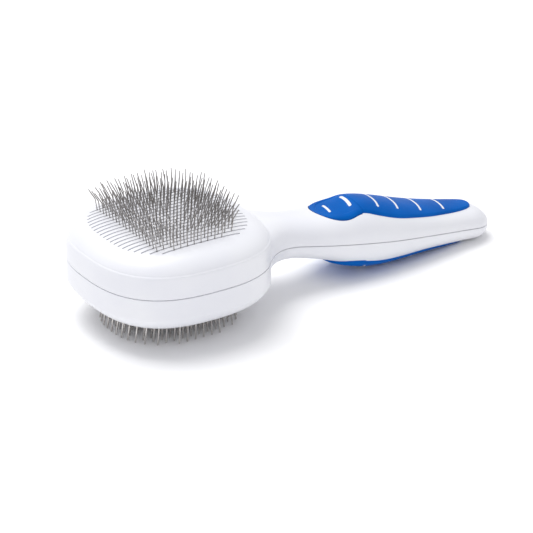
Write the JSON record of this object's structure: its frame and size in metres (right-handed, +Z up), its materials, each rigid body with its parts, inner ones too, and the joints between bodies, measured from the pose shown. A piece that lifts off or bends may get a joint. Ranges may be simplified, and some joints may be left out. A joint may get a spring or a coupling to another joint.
{
  "type": "pet grooming brush",
  "caption": "Two-sided self-cleaning wire-pin grooming brush: domed oval head, blue soft-grip handle and paddle buttons that draw the pins in.",
  "frame": {"origin": "centre of the bounding box at its base, on the surface that the brush rests on with its coarse pins and the grip under its tail", "axes": "+X from the head to the tail, +Z up out of the fine-pin face, the handle's middle plane at Y = 0"},
  "size_m": [0.2348, 0.0928, 0.0655],
  "materials": {
    "white_shell": "satin moulded white ABS",
    "blue_grip": "soft-touch matte blue thermoplastic rubber",
    "carrier_plastic": "natural moulded acetal",
    "fine_wire": "drawn spring-steel wire, bent",
    "coarse_wire": "polished steel pins with rounded tips",
    "steel_hardware": "plain steel"
  },
  "bodies": {
    "root": {"upper_shell": "white_shell", "lower_shell": "white_shell", "upper_grip": "blue_grip", "lower_grip": "blue_grip", "upper_axle": "steel_hardware", "lower_axle": "steel_hardware", "upper_torsion_spring": "steel_hardware", "lower_torsion_spring": "steel_hardware", "front_shell_screw": "steel_hardware", "rear_shell_screw": "steel_hardware"},
    "upper_lever": {"upper_lever": "carrier_plastic", "upper_button_pad": "blue_grip"},
    "lower_lever": {"lower_lever": "carrier_plastic", "lower_button_pad": "blue_grip"},
    "fine_pin_carrier": {"fine_pin_frame": "carrier_plastic", "fine_pin_row_01": "fine_wire", "fine_pin_row_02": "fine_wire", "fine_pin_row_03": "fine_wire", "fine_pin_row_04": "fine_wire", "fine_pin_row_05": "fine_wire", "fine_pin_row_06": "fine_wire", "fine_pin_row_07": "fine_wire", "fine_pin_row_08": "fine_wire", "fine_pin_row_09": "fine_wire", "fine_pin_row_10": "fine_wire", "fine_pin_row_11": "fine_wire", "fine_pin_row_12": "fine_wire", "fine_pin_row_13": "fine_wire", "fine_pin_row_14": "fine_wire", "fine_pin_row_15": "fine_wire", "fine_pin_row_16": "fine_wire", "fine_pin_row_17": "fine_wire", "fine_pin_row_18": "fine_wire", "fine_pin_row_19": "fine_wire", "fine_pin_row_20": "fine_wire", "fine_pin_row_21": "fine_wire"},
    "coarse_pin_carrier": {"coarse_pin_frame": "carrier_plastic", "coarse_pin_row_01": "coarse_wire", "coarse_pin_row_02": "coarse_wire", "coarse_pin_row_03": "coarse_wire", "coarse_pin_row_04": "coarse_wire", "coarse_pin_row_05": "coarse_wire", "coarse_pin_row_06": "coarse_wire", "coarse_pin_row_07": "coarse_wire", "coarse_pin_row_08": "coarse_wire", "coarse_pin_row_09": "coarse_wire", "coarse_pin_row_10": "coarse_wire", "coarse_pin_row_11": "coarse_wire", "coarse_pin_row_12": "coarse_wire", "coarse_pin_row_13": "coarse_wire", "coarse_pin_row_14": "coarse_wire", "coarse_pin_row_15": "coarse_wire"}
  },
  "joints": [
    {"name": "fine_carrier_slide", "type": "slide", "parent": "root", "child": "fine_pin_carrier", "axis": [0, 0, -1], "range_m": [0, 0.0129], "stiffness_N_per_m": 600, "springref_m": -0.006},
    {"name": "coarse_carrier_slide", "type": "slide", "parent": "root", "child": "coarse_pin_carrier", "axis": [0, 0, 1], "range_m": [0, 0.0106], "stiffness_N_per_m": 900, "springref_m": -0.006},
    {"name": "upper_lever_hinge", "type": "hinge", "parent": "root", "child": "upper_lever", "pos_m": [0.0495, 0, 0.02646], "axis": [0, -1, 0], "range_deg": [0, 9]},
    {"name": "lower_lever_hinge", "type": "hinge", "parent": "root", "child": "lower_lever", "pos_m": [0.0495, 0, 0.00846], "axis": [0, 1, 0], "range_deg": [0, 7.6]}
  ],
  "couplings": [
    {"joint": "upper_lever_hinge", "follows": "fine_carrier_slide", "rad_per_m": 12.16},
    {"joint": "lower_lever_hinge", "follows": "coarse_carrier_slide", "rad_per_m": 12.48}
  ]
}
